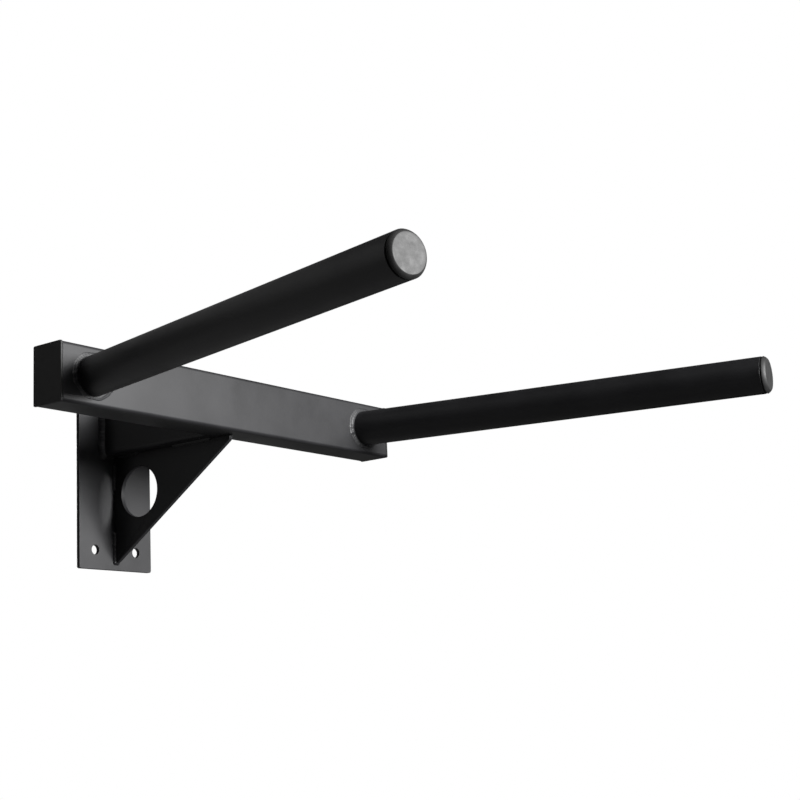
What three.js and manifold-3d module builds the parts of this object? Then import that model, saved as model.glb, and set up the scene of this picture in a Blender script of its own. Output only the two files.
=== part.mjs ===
// Wall-mounted dip bar: a welded steel bracket that carries a crossbar with two splayed handles.
// Millimetres, +Z up, +X to the right of a person facing the wall, and the wall at +Y.
// The origin is the centre of the wall plate's rear face and of its bolt pattern.
import * as THREE from "three";
import { mergeVertices } from "three/addons/utils/BufferGeometryUtils.js";
import Module from "manifold-3d";

// Wall plate
const plateWidth = 134;
const plateHeight = 300;
const plateThickness = 6;
const plateCornerRadius = 3;
const boltHoleDiameter = 13.5;
const boltSpacingAcross = 76;
const boltEdgeDistance = 27;
const sheetEdgeBreak = 0.5;

// Box section of the arm and the crossbar
const sectionHeight = 75;
const sectionWidth = 50;
const sectionWall = 3;
const sectionCornerRadius = 5;

// Arm and crossbar
const armReach = 198;
const armHeight = 48;
const crossbarLength = 620;

// Gusset under the arm
const gussetReach = 227;
const gussetToeRise = 10.5;
const gussetThickness = 6;
const gussetNose = 6;
const gussetHoleDiameter = 71;
const gussetHoleFromPlate = 51;

// Handles
const handleDiameter = 50;
const handleWall = 3;
const handleSpacing = 522;
const handleReach = 595;
const handleSplay = THREE.MathUtils.degToRad(12.4);
const handleEdgeBreak = 0.6;

// Round end caps of the handles
const capHeadLength = 4.5;
const capRimRadius = 4.2;
const capGrooveWidth = 2;
const capGrooveDepth = 2;
const capShankLength = 24;
const capShankWall = 2;
const capRibCount = 3;
const capRibHeight = 1.6;
const capRibWidth = 1.6;
const capRibPitch = 6;

// Rectangular end plugs of the crossbar
const plugHeadThickness = 3;
const plugCornerRadius = 2;
const plugEdgeBreak = 0.6;
const plugShankLength = 22;
const plugShankWall = 2;
const plugFinCount = 3;
const plugFinHeight = 1.6;
const plugFinWidth = 1.5;
const plugFinPitch = 6;
const cutOverrun = 2;

// Weld beads
const handleWeldFaceLeg = 7;
const handleWeldTubeLeg = 3.5;
const plateWeldLeg = 7;
const crossbarWeldLeg = 5;
const gussetWeldLeg = 3.5;
const capBeadRise = 0.9;
const capBeadSpread = 3;
const firstStitchGap = 2;
const plateStitchEndShare = 0.325;
const toeWeldStartShare = 0.705;
const armStitchShares = { rear: [0.05, 0.25], front: [0.6, 0.97] };
const beadCrownShare = 0.1;
const beadTaperShares = [0.45, 0.85, 1];

// Running clearance of plastic inserts, beads and turned pieces
const clearance = 0.3;

// Curve resolution
const roundSegments = 48;
const cornerSegments = 6;
const holeSegments = 32;
const gussetHoleSegments = 56;
const beadFacets = 4;
// An arc in an extruded outline takes two facets for each curve segment.
const arcSegments = cornerSegments / 2;

// Places that follow from the sizes
const plateFrontY = -plateThickness;
const plateBottomZ = -plateHeight / 2;
const crossbarBackY = plateFrontY - armReach;
const crossbarFrontY = crossbarBackY - sectionWidth;
const crossbarCentreY = crossbarBackY - sectionWidth / 2;
const undersideZ = armHeight - sectionHeight / 2;
const topsideZ = armHeight + sectionHeight / 2;
const gussetDrop = undersideZ - (plateBottomZ + gussetToeRise);
const boreCornerRadius = sectionCornerRadius - sectionWall;
const handleRadius = handleDiameter / 2;
const handleBoreRadius = handleRadius - handleWall;
const handleTubeLength = handleReach - capHeadLength - capGrooveWidth;

// Finishes
const powderCoat = { color: 0x1d1e20, roughness: 0.45, metalness: 0 };
const moulded = { color: 0x161616, roughness: 0.55, metalness: 0 };

const wasm = await Module();
wasm.setup();

// Turns that lay a flat outline across the X axis or across the Y axis
const acrossX = new THREE.Euler(0, Math.PI / 2, Math.PI / 2);
const acrossY = new THREE.Euler(Math.PI / 2, 0, 0);

function piece(name, geometry, finish) {
  const mesh = new THREE.Mesh(geometry, new THREE.MeshStandardMaterial(finish));
  mesh.name = name;
  return mesh;
}

// Outlines

function roundedRectangle(width, height, radius, outline = new THREE.Shape()) {
  const x = width / 2 - radius;
  const y = height / 2 - radius;
  outline.moveTo(x, -height / 2);
  outline.absarc(x, -y, radius, -Math.PI / 2, 0);
  outline.absarc(x, y, radius, 0, Math.PI / 2);
  outline.absarc(-x, y, radius, Math.PI / 2, Math.PI);
  outline.absarc(-x, -y, radius, Math.PI, 1.5 * Math.PI);
  outline.closePath();
  return outline;
}

function roundHole(x, y, diameter, segments) {
  const points = [];
  for (let i = 0; i < segments; i += 1) {
    const angle = (2 * Math.PI * i) / segments;
    points.push(new THREE.Vector2(x, y).add(
      new THREE.Vector2(Math.cos(angle), Math.sin(angle)).multiplyScalar(diameter / 2),
    ));
  }
  return new THREE.Path(points);
}

// A flat outline given a thickness, with its long edges broken on both faces
function cutSheet(outline, thickness, edgeBreak) {
  return new THREE.ExtrudeGeometry(outline, {
    depth: thickness - 2 * edgeBreak,
    bevelEnabled: true,
    bevelThickness: edgeBreak,
    bevelSize: edgeBreak,
    bevelOffset: -edgeBreak,
    bevelSegments: 1,
    curveSegments: arcSegments,
  }).translate(0, 0, edgeBreak);
}

function straightExtrusion(outline, length) {
  return new THREE.ExtrudeGeometry(outline, {
    depth: length,
    bevelEnabled: false,
    curveSegments: arcSegments,
  });
}

// Joining and cutting of closed solids

function toSolid(geometry) {
  const bare = geometry.clone();
  bare.deleteAttribute("normal");
  bare.deleteAttribute("uv");
  const merged = mergeVertices(bare);
  return new wasm.Manifold(new wasm.Mesh({
    numProp: 3,
    vertProperties: merged.attributes.position.array,
    triVerts: new Uint32Array(merged.index.array),
  }));
}

function toGeometry(solid) {
  const mesh = solid.getMesh();
  const geometry = new THREE.BufferGeometry();
  geometry.setAttribute("position", new THREE.BufferAttribute(mesh.vertProperties, mesh.numProp));
  geometry.setIndex(new THREE.BufferAttribute(mesh.triVerts, 1));
  geometry.computeVertexNormals();
  return geometry;
}

// Wall plate with its four bolt holes

function makeWallPlate() {
  const outline = roundedRectangle(plateWidth, plateHeight, plateCornerRadius);
  const holeX = boltSpacingAcross / 2;
  const holeZ = plateHeight / 2 - boltEdgeDistance;
  for (const across of [-holeX, holeX]) {
    for (const high of [-holeZ, holeZ]) {
      outline.holes.push(roundHole(across, high, boltHoleDiameter, holeSegments));
    }
  }
  const plate = piece("wall_plate", cutSheet(outline, plateThickness, sheetEdgeBreak), powderCoat);
  plate.rotation.copy(acrossY);
  return plate;
}

// Box sections

function boxTube(width, height, length) {
  const outline = roundedRectangle(width, height, sectionCornerRadius);
  const boreWidth = width - 2 * sectionWall;
  const boreHeight = height - 2 * sectionWall;
  outline.holes.push(roundedRectangle(boreWidth, boreHeight, boreCornerRadius, new THREE.Path()));
  return straightExtrusion(outline, length);
}

function makeSupportArm() {
  const arm = piece("support_arm", boxTube(sectionWidth, sectionHeight, armReach), powderCoat);
  arm.position.set(0, plateFrontY, armHeight);
  arm.rotation.copy(acrossY);
  return arm;
}

function makeCrossbar() {
  const bar = piece("crossbar", boxTube(sectionWidth, sectionHeight, crossbarLength), powderCoat);
  bar.position.set(-crossbarLength / 2, crossbarCentreY, armHeight);
  bar.rotation.copy(acrossX);
  return bar;
}

// Gusset: a triangle with blunt noses. Its hole leaves the same web to the arm as to the sloping edge.

function makeGusset() {
  const slope = Math.atan2(gussetDrop - gussetNose, gussetReach - gussetNose);
  const apex = gussetReach + gussetNose / Math.tan(slope);
  const holeDrop = (apex - gussetHoleFromPlate) * Math.tan(slope / 2);
  const outline = new THREE.Shape([
    new THREE.Vector2(0, 0),
    new THREE.Vector2(-gussetReach, 0),
    new THREE.Vector2(-gussetReach, -gussetNose),
    new THREE.Vector2(-gussetNose, -gussetDrop),
    new THREE.Vector2(0, -gussetDrop),
  ]);
  outline.holes.push(
    roundHole(-gussetHoleFromPlate, -holeDrop, gussetHoleDiameter, gussetHoleSegments),
  );
  const gusset = piece("gusset", cutSheet(outline, gussetThickness, sheetEdgeBreak), powderCoat);
  gusset.position.set(-gussetThickness / 2, plateFrontY, undersideZ);
  gusset.rotation.copy(acrossX);
  return gusset;
}

// Crossbar end plug: a flat head, and a hollow shank with fins that grip the bore

function plugGeometry() {
  const finDepth = sectionWidth - 2 * (sectionWall + clearance);
  const finHigh = sectionHeight - 2 * (sectionWall + clearance);
  const shrink = (by) => roundedRectangle(finDepth - 2 * by, finHigh - 2 * by, boreCornerRadius);
  const head = roundedRectangle(sectionWidth, sectionHeight, plugCornerRadius);
  let plug = toSolid(cutSheet(head, plugHeadThickness, plugEdgeBreak));
  const shankOutline = shrink(plugFinHeight);
  const shank = straightExtrusion(shankOutline, plugShankLength + plugHeadThickness / 2);
  plug = plug.add(toSolid(shank.translate(0, 0, -plugShankLength)));
  for (let i = 0; i < plugFinCount; i += 1) {
    const fin = straightExtrusion(shrink(0), plugFinWidth);
    plug = plug.add(toSolid(fin.translate(0, 0, -plugFinPitch * (i + 1))));
  }
  const hollowLength = plugShankLength + cutOverrun;
  const hollow = straightExtrusion(shrink(plugFinHeight + plugShankWall), hollowLength);
  return toGeometry(plug.subtract(toSolid(hollow.translate(0, 0, -hollowLength))));
}

function makeCrossbarPlug(name, side) {
  const plug = piece(name, plugGeometry(), moulded);
  plug.position.x = crossbarLength / 2;
  plug.rotation.copy(acrossX);
  const holder = new THREE.Group();
  holder.position.set(0, crossbarCentreY, armHeight);
  holder.rotation.z = side < 0 ? Math.PI : 0;
  holder.add(plug);
  return holder;
}

// Handles. In a handle's own frame +Y runs out along the tube from the crossbar's front face.

// Height of the crossbar's face over a point that lies x across the tube
function faceAlong(side, x) {
  return -side * x * Math.tan(handleSplay);
}

function revolve(profile) {
  const points = profile.map(([radius, along]) => new THREE.Vector2(radius, along));
  return new THREE.LatheGeometry(points, roundSegments);
}

// The tube's foot is mitred to sit flat on the crossbar, which the splay leaves at an angle.
function handleTubeGeometry(side) {
  const end = handleTubeLength;
  const geometry = revolve([
    [handleBoreRadius, 0],
    [handleRadius, 0],
    [handleRadius, end - handleEdgeBreak],
    [handleRadius - handleEdgeBreak, end],
    [handleBoreRadius, end],
    [handleBoreRadius, 0],
  ]);
  const position = geometry.attributes.position;
  for (let i = 0; i < position.count; i += 1) {
    if (position.getY(i) === 0) {
      const foot = faceAlong(side, position.getX(i)) + clearance / Math.cos(handleSplay);
      position.setY(i, foot);
    }
  }
  geometry.computeVertexNormals();
  return geometry;
}

// The cap's head stands flush with the tube behind a groove, and its ribbed shank fills the bore.
function handleCapGeometry() {
  const seat = handleTubeLength;
  const ribRadius = handleBoreRadius - clearance;
  const coreRadius = ribRadius - capRibHeight;
  const hollowRadius = coreRadius - capShankWall;
  const neckRadius = handleRadius - capGrooveDepth;
  const profile = [
    [0, seat],
    [hollowRadius, seat],
    [hollowRadius, seat - capShankLength],
    [coreRadius, seat - capShankLength],
  ];
  for (let i = capRibCount; i > 0; i -= 1) {
    const crest = seat - i * capRibPitch;
    profile.push([coreRadius, crest - capRibWidth]);
    profile.push([ribRadius, crest]);
    profile.push([coreRadius, crest]);
  }
  profile.push([coreRadius, seat + clearance]);
  profile.push([neckRadius, seat + clearance]);
  profile.push([neckRadius, seat + capGrooveWidth]);
  profile.push([handleRadius, seat + capGrooveWidth]);
  for (let i = 0; i <= cornerSegments; i += 1) {
    const angle = ((Math.PI / 2) * i) / cornerSegments;
    profile.push([
      handleRadius - capRimRadius * (1 - Math.cos(angle)),
      handleReach - capRimRadius * (1 - Math.sin(angle)),
    ]);
  }
  profile.push([0, handleReach]);
  return revolve(profile);
}

// Weld beads. A stop holds the corner that the bead fills and the two directions that lead away
// from it along the joined surfaces. Its share shrinks the bead where the run starts and ends.
// The second leg is given where a bead lies wider on one surface than on the other.

function beadRing(stop, firstLeg, secondLeg) {
  const root = stop.corner.clone();
  root.addScaledVector(stop.alongFirst, clearance).addScaledVector(stop.alongSecond, clearance);
  const ring = [root];
  for (let i = 0; i <= beadFacets; i += 1) {
    const turn = i / beadFacets;
    const crown = beadCrownShare * Math.sin(Math.PI * turn);
    const point = root.clone();
    point.addScaledVector(stop.alongFirst, firstLeg * stop.share * (1 - turn + crown));
    point.addScaledVector(stop.alongSecond, secondLeg * stop.share * (turn + crown));
    ring.push(point);
  }
  return ring;
}

function signedVolume(points, index) {
  let volume = 0;
  for (let i = 0; i < index.length; i += 3) {
    const [a, b, c] = [points[index[i]], points[index[i + 1]], points[index[i + 2]]];
    volume += a.dot(b.clone().cross(c));
  }
  return volume;
}

function beadGeometry(stops, leg, closed, secondLeg = leg) {
  const rings = stops.map((stop) => beadRing(stop, leg, secondLeg));
  const size = rings[0].length;
  const points = rings.flat();
  const index = [];
  const spans = closed ? rings.length : rings.length - 1;
  for (let i = 0; i < spans; i += 1) {
    const near = i * size;
    const far = ((i + 1) % rings.length) * size;
    for (let j = 0; j < size; j += 1) {
      const next = (j + 1) % size;
      index.push(near + j, near + next, far + j);
      index.push(near + next, far + next, far + j);
    }
  }
  if (!closed) {
    const last = (rings.length - 1) * size;
    for (let j = 1; j < size - 1; j += 1) {
      index.push(0, j + 1, j);
      index.push(last, last + j, last + j + 1);
    }
  }
  if (signedVolume(points, index) < 0) {
    index.reverse();
  }
  const geometry = new THREE.BufferGeometry().setFromPoints(points);
  geometry.setIndex(index);
  geometry.computeVertexNormals();
  return geometry;
}

// Stops of a straight stitch, drawn in at both ends
function stitchStops(start, finish, alongFirst, alongSecond, leg) {
  const run = finish.clone().sub(start);
  const length = run.length();
  const step = Math.min(leg / 2, length / (2 * beadTaperShares.length));
  const heading = run.normalize();
  const stops = [];
  const addStop = (distance, share) => {
    const corner = start.clone().addScaledVector(heading, distance);
    stops.push({ corner, alongFirst, alongSecond, share });
  };
  beadTaperShares.forEach((share, i) => addStop(step * i, share));
  [...beadTaperShares].reverse().forEach((share, i, shares) => {
    addStop(length - step * (shares.length - 1 - i), share);
  });
  return stops;
}

// Stops round a convex corner of the joined outline, seen on the surface that carries it
function cornerStops(centre, radius, from, to, alongSecond, axes) {
  const stops = [];
  for (let i = 0; i <= cornerSegments; i += 1) {
    const angle = from + ((to - from) * i) / cornerSegments;
    const alongFirst = axes[0].clone().multiplyScalar(Math.cos(angle));
    alongFirst.addScaledVector(axes[1], Math.sin(angle));
    const corner = centre.clone().addScaledVector(alongFirst, radius);
    stops.push({ corner, alongFirst, alongSecond, share: 1 });
  }
  return stops;
}

const right = new THREE.Vector3(1, 0, 0);
const left = new THREE.Vector3(-1, 0, 0);
const up = new THREE.Vector3(0, 0, 1);
const down = new THREE.Vector3(0, 0, -1);
const toWall = new THREE.Vector3(0, 1, 0);
const fromWall = new THREE.Vector3(0, -1, 0);
const sides = [
  { word: "left", sign: -1, outward: left },
  { word: "right", sign: 1, outward: right },
];

// Bead round the foot of a handle, in the handle's own frame
function handleWeldGeometry(side) {
  const faceNormal = new THREE.Vector3(
    side * Math.sin(handleSplay),
    Math.cos(handleSplay),
    0,
  );
  const alongTube = new THREE.Vector3(0, 1, 0);
  const stops = [];
  for (let i = 0; i < roundSegments; i += 1) {
    const angle = (2 * Math.PI * i) / roundSegments;
    const radial = new THREE.Vector3(Math.cos(angle), 0, Math.sin(angle));
    const corner = radial.clone().multiplyScalar(handleRadius);
    corner.y = faceAlong(side, corner.x);
    const alongFace = radial.clone();
    alongFace.addScaledVector(faceNormal, -radial.dot(faceNormal)).normalize();
    stops.push({ corner, alongFirst: alongFace, alongSecond: alongTube, share: 1 });
  }
  return beadGeometry(stops, handleWeldFaceLeg, true, handleWeldTubeLeg);
}

function makeHandle({ word, sign }) {
  const handle = new THREE.Group();
  handle.position.set((sign * handleSpacing) / 2, crossbarFrontY, armHeight);
  handle.rotation.z = Math.PI + sign * handleSplay;
  handle.add(piece(`handle_tube_${word}`, handleTubeGeometry(sign), powderCoat));
  handle.add(piece(`handle_end_cap_${word}`, handleCapGeometry(), moulded));
  handle.add(piece(`handle_weld_${word}`, handleWeldGeometry(sign), powderCoat));
  return handle;
}

// Bead round the arm on the wall plate, broken under the arm where the gusset stands
function makePlateWeld() {
  const x = sectionWidth / 2 - sectionCornerRadius;
  const z = sectionHeight / 2 - sectionCornerRadius;
  const quarter = Math.PI / 2;
  const axes = [right, up];
  const gussetSide = gussetThickness / 2 + clearance;
  const below = (sign) => ({
    corner: new THREE.Vector3(sign * gussetSide, plateFrontY, undersideZ),
    alongFirst: down,
    alongSecond: fromWall,
    share: 1,
  });
  const centre = (acrossSign, upSign) => new THREE.Vector3(
    acrossSign * x,
    plateFrontY,
    armHeight + upSign * z,
  );
  const turn = (place, from) => cornerStops(
    place,
    sectionCornerRadius,
    from,
    from + quarter,
    fromWall,
    axes,
  );
  const stops = [
    below(1),
    ...turn(centre(1, -1), -quarter),
    ...turn(centre(1, 1), 0),
    ...turn(centre(-1, 1), quarter),
    ...turn(centre(-1, -1), 2 * quarter),
    below(-1),
  ];
  return piece("arm_to_plate_weld", beadGeometry(stops, plateWeldLeg, false), powderCoat);
}

// Upright fillets where the arm's sides meet the back of the crossbar
function makeCrossbarSideWeld({ word, sign, outward }) {
  const x = (sign * sectionWidth) / 2;
  const low = new THREE.Vector3(x, crossbarBackY, undersideZ + sectionCornerRadius);
  const high = new THREE.Vector3(x, crossbarBackY, topsideZ - sectionCornerRadius);
  const stops = stitchStops(low, high, outward, toWall, crossbarWeldLeg);
  const geometry = beadGeometry(stops, crossbarWeldLeg, false);
  return piece(`arm_to_crossbar_weld_${word}`, geometry, powderCoat);
}

// Fill of the groove that the crossbar's rounded corner leaves in front of the arm's end.
// The top one keeps its cap, and the bottom one is dressed flush so that the gusset seats.
function makeGrooveWeld(word, upSign, rise, spread) {
  const radius = sectionCornerRadius;
  const flat = sectionHeight / 2;
  const reach = radius + clearance;
  const lowest = Math.acos((radius - clearance) / reach);
  const outline = new THREE.Shape();
  outline.moveTo(-clearance, flat - clearance);
  outline.lineTo(-clearance, flat + (rise > 0 ? clearance : 0));
  if (rise > 0) {
    outline.lineTo(spread, flat + clearance);
    outline.quadraticCurveTo(
      -radius / 2,
      flat + clearance + 2 * rise,
      -radius - spread,
      flat + clearance,
    );
  }
  const highest = rise > 0 ? Math.PI / 2 : Math.asin(radius / reach);
  outline.absarc(-radius, flat - radius, reach, highest, lowest, true);
  outline.closePath();
  const length = sectionWidth - 2 * sectionCornerRadius;
  const bead = piece(`arm_to_crossbar_weld_${word}`, straightExtrusion(outline, length), powderCoat);
  bead.rotation.copy(acrossX);
  bead.position.x = -length / 2;
  const holder = new THREE.Group();
  holder.position.set(0, crossbarBackY, armHeight);
  holder.rotation.y = upSign > 0 ? 0 : Math.PI;
  holder.add(bead);
  return holder;
}

// Upper stitch between gusset and wall plate
function makePlateStitch({ word, sign, outward }) {
  const x = (sign * gussetThickness) / 2;
  const highZ = undersideZ - plateWeldLeg - clearance - firstStitchGap;
  const lowZ = undersideZ - gussetDrop * plateStitchEndShare;
  const high = new THREE.Vector3(x, plateFrontY, highZ);
  const low = new THREE.Vector3(x, plateFrontY, lowZ);
  const stops = stitchStops(high, low, outward, fromWall, gussetWeldLeg);
  const geometry = beadGeometry(stops, gussetWeldLeg, false);
  return piece(`gusset_to_plate_weld_${word}`, geometry, powderCoat);
}

// Bead that runs down one side of the gusset's foot, round its nose and up the other side
function makeToeWeld() {
  const half = gussetThickness / 2;
  const startZ = undersideZ - gussetDrop * toeWeldStartShare;
  const toeZ = undersideZ - gussetDrop;
  const place = (x, z) => new THREE.Vector3(x, plateFrontY, z);
  const quarter = Math.PI / 2;
  const axes = [right, up];
  const rising = stitchStops(place(half, toeZ), place(half, startZ), right, fromWall, gussetWeldLeg);
  const falling = stitchStops(place(-half, startZ), place(-half, toeZ), left, fromWall, gussetWeldLeg);
  const runIn = beadTaperShares.length;
  const stops = [
    ...falling.slice(0, runIn),
    ...cornerStops(place(-half, toeZ), 0, 2 * quarter, 3 * quarter, fromWall, axes),
    ...cornerStops(place(half, toeZ), 0, -quarter, 0, fromWall, axes),
    ...rising.slice(-runIn),
  ];
  return piece("gusset_toe_weld", beadGeometry(stops, gussetWeldLeg, false), powderCoat);
}

// Stitches between gusset and arm
function makeArmStitch({ word, sign, outward }, place, shares) {
  const x = (sign * gussetThickness) / 2;
  const [near, far] = shares.map((share) => (
    new THREE.Vector3(x, plateFrontY - armReach * share, undersideZ)
  ));
  const stops = stitchStops(near, far, outward, down, gussetWeldLeg);
  const geometry = beadGeometry(stops, gussetWeldLeg, false);
  return piece(`gusset_to_arm_weld_${place}_${word}`, geometry, powderCoat);
}

const group = new THREE.Group();
group.add(makeWallPlate());
group.add(makeSupportArm());
group.add(makeGusset());
group.add(makeCrossbar());
group.add(makePlateWeld());
group.add(makeGrooveWeld("top", 1, capBeadRise, capBeadSpread));
group.add(makeGrooveWeld("bottom", -1, 0, 0));
group.add(makeToeWeld());
for (const side of sides) {
  group.add(makeCrossbarPlug(`crossbar_end_plug_${side.word}`, side.sign));
  group.add(makeHandle(side));
  group.add(makeCrossbarSideWeld(side));
  group.add(makePlateStitch(side));
  for (const [place, shares] of Object.entries(armStitchShares)) {
    group.add(makeArmStitch(side, place, shares));
  }
}

export default group;
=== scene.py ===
"""Looks of a wall-mounted dip bar: black powder-coated steel with moulded plugs and caps."""
import math

import bmesh
import bpy
from mathutils import Matrix, Vector


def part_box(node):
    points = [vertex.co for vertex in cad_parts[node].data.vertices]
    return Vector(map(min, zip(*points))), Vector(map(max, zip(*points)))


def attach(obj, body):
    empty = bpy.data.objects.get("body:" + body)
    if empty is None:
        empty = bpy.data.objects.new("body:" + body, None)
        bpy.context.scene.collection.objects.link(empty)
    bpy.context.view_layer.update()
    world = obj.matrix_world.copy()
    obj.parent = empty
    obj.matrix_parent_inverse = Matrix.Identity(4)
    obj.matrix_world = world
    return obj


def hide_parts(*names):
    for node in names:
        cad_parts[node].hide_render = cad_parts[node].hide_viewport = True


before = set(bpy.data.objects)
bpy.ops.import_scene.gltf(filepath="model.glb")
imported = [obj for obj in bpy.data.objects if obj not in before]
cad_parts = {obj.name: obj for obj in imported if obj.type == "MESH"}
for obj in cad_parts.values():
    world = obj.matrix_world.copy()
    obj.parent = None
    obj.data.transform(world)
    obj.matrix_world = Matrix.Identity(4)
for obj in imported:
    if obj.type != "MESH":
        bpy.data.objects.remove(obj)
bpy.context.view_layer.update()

bl_info = {
    "name": "Wall-mounted dip bar",
    "version": (1, 0, 0),
    "blender": (4, 5, 0),
    "location": "View3D > Sidebar > Dip Bar",
    "description": "Models and finishes a welded wall-mounted dip bar round its construction frame",
    "category": "Add Mesh",
}

MM = 0.001
QUARTER = math.pi / 2
X_AXIS = Vector((1, 0, 0))
Y_AXIS = Vector((0, 1, 0))
Z_AXIS = Vector((0, 0, 1))
FROM_WALL = -Y_AXIS
SIDES = {"left": -1, "right": 1}
# Cosine above which two directions count as one
SAME_WAY = 0.999
# Facets round a large circle and round a small one
LARGE_CIRCLE = 128
SMALL_CIRCLE = 64

# Places that the frame gives
plate_low, plate_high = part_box("wall_plate")
arm_low, arm_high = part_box("support_arm")
bar_low, bar_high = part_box("crossbar")
gusset_low, gusset_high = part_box("gusset")
plug_low, plug_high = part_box("crossbar_end_plug_right")


# Sizes and colours that a user would change

def length(name, description, millimetres):
    return bpy.props.FloatProperty(
        name=name,
        description=description,
        default=millimetres * MM,
        unit="LENGTH",
        subtype="DISTANCE",
    )


def hex_to_linear(code):
    """Linear RGB of an sRGB hex value."""
    shares = [int(code[i:i + 2], 16) / 255 for i in (1, 3, 5)]
    return tuple(s / 12.92 if s <= 0.04045 else ((s + 0.055) / 1.055) ** 2.4 for s in shares)


def colour(name, description, code):
    return bpy.props.FloatVectorProperty(
        name=name,
        description=description,
        default=hex_to_linear(code),
        subtype="COLOR",
        size=3,
        min=0.0,
        max=1.0,
    )


class DipBarSteelSizes(bpy.types.PropertyGroup):
    """Sizes of the welded steel frame."""
    sheet_corner: length("Plate corner", "Radius of the wall plate's corners", 3)
    sheet_edge: length("Sheet edge", "Rounding that the coat gives a cut sheet's edge", 0.7)
    bolt_hole: length("Bolt hole", "Diameter of the wall bolt holes", 13.5)
    bolt_across: length("Bolts across", "Distance between the bolt holes across", 76)
    bolt_inset: length("Bolt inset", "Distance of the bolt holes from the plate's ends", 27)
    section_corner: length("Section corner", "Outer corner radius of the box section", 5)
    section_wall: length("Section wall", "Wall of the box section", 3)
    tube_edge: length("Cut edge", "Rounding of the tubes' cut ends", 0.5)
    gusset_nose: length("Gusset nose", "Width of the gusset's blunt noses", 6)
    gusset_round: length("Gusset round", "Rounding of the two corners of its sloping edge", 3)
    gusset_hole: length("Gusset hole", "Diameter of the hole in the gusset", 71)
    gusset_hole_from_plate: length("Hole from plate", "Hole centre from the wall plate", 51)
    gusset_hole_drop: length("Hole drop", "Hole centre below the arm", 55)


class DipBarHandleSizes(bpy.types.PropertyGroup):
    """Sizes of the handles and of their caps."""
    diameter: length("Diameter", "Outer diameter of the handles", 50)
    wall: length("Wall", "Wall of the handle tube", 3)
    spacing: length("Spacing", "Distance between the handles at the crossbar", 522)
    reach: length("Reach", "Length from the crossbar to the cap's face", 595)
    splay: bpy.props.FloatProperty(
        name="Splay",
        description="Angle that each handle turns outwards",
        default=math.radians(12.4),
        subtype="ANGLE",
    )
    cap_head: length("Cap head", "Length of the cap's head", 5)
    cap_groove: length("Cap groove", "Width of the groove behind the cap's head", 2.2)
    cap_groove_depth: length("Groove depth", "Depth of the groove behind the cap's head", 2)
    cap_rim: length("Cap rim", "Width of the cap's rounded rim", 3.8)
    cap_dish: length("Cap dish", "How far the middle of the cap's face sinks", 0.35)
    cap_crease_depth: length("Crease depth", "Depth of the crease inside the cap's rim", 0.12)
    cap_crease_width: length("Crease width", "Width of the crease inside the cap's rim", 0.35)


class DipBarPlugSizes(bpy.types.PropertyGroup):
    """Sizes of the crossbar's end plugs."""
    seam: length("Plug seam", "How far the head stands off the tube's end", 0.6)
    corner: length("Plug corner", "Corner radius of the head", 2)
    edge: length("Plug edge", "Rounding of the moulded edges", 0.4)
    wall: length("Plug wall", "Wall of the hollow shank", 2)
    floor: length("Plug floor", "Distance of the hollow's floor from the head", 1)


class DipBarWeldSizes(bpy.types.PropertyGroup):
    """Sizes of the weld beads."""
    handle_leg: length("Handle bead", "Widest leg on the crossbar round a handle's foot", 9.2)
    handle_rise: length("Handle bead rise", "Leg along the tube round a handle's foot", 1.1)
    plate_leg: length("Plate bead", "Leg of the bead round the arm", 7)
    crossbar_leg: length("Crossbar bead", "Leg of the beads behind the crossbar", 5)
    gusset_leg: length("Gusset bead", "Leg of the gusset's stitches", 3.5)
    ripple_pitch: length("Ripple pitch", "Distance between two ripples", 4.2)
    ripple_height: length("Ripple height", "Height of a ripple", 0.45)
    overlap: length("Overlap", "How far a bead reaches into the steel", 0.5)


class DipBarFinish(bpy.types.PropertyGroup):
    """Colours of the finishes."""
    coat: colour("Powder coat", "Colour of the satin powder coat", "#222224")
    plastic: colour("Plastic", "Colour of the moulded plugs and caps", "#1e1e1e")
    floor: colour("Floor", "Colour of the studio floor", "#f2f2f2")


class DipBarSettings(bpy.types.PropertyGroup):
    """All the settings of the dip bar."""
    steel: bpy.props.PointerProperty(name="Steel", type=DipBarSteelSizes)
    handle: bpy.props.PointerProperty(name="Handles", type=DipBarHandleSizes)
    plug: bpy.props.PointerProperty(name="Plugs", type=DipBarPlugSizes)
    weld: bpy.props.PointerProperty(name="Welds", type=DipBarWeldSizes)
    finish: bpy.props.PointerProperty(name="Finish", type=DipBarFinish)


def settings():
    return bpy.context.scene.dip_bar


# Modelling steps

def deselect_all():
    """Leaves edit mode with nothing selected."""
    if bpy.context.object and bpy.context.object.mode != "OBJECT":
        bpy.ops.object.mode_set(mode="OBJECT")
    bpy.ops.object.select_all(action="DESELECT")


def activate(piece):
    deselect_all()
    piece.select_set(True)
    bpy.context.view_layer.objects.active = piece


def name_new(name):
    """Names the primitive that was just added and puts its place into its mesh."""
    piece = bpy.context.object
    piece.name = name
    piece.data.name = name
    bpy.ops.object.transform_apply(location=True, rotation=True, scale=True)
    return piece


def add_block(name, low, high):
    deselect_all()
    bpy.ops.mesh.primitive_cube_add(size=1, location=(low + high) / 2, scale=high - low)
    return name_new(name)


def choose(piece, kind, wanted):
    """Enters edit mode with the wanted edges or faces selected."""
    activate(piece)
    bpy.ops.object.mode_set(mode="EDIT")
    bpy.ops.mesh.select_mode(type=kind)
    bpy.ops.mesh.select_all(action="DESELECT")
    mesh = bmesh.from_edit_mesh(piece.data)
    for part in {"EDGE": mesh.edges, "FACE": mesh.faces}[kind]:
        part.select_set(wanted(part))
    bmesh.update_edit_mesh(piece.data)


def edge_runs(axis):
    """A test for edges that run along an axis."""
    def test(edge):
        run = edge.verts[1].co - edge.verts[0].co
        return abs(run.normalized().dot(axis)) > SAME_WAY
    return test


def face_points(*axes):
    """A test for faces that point along one of the given directions."""
    return lambda face: any(face.normal.dot(axis) > SAME_WAY for axis in axes)


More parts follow.
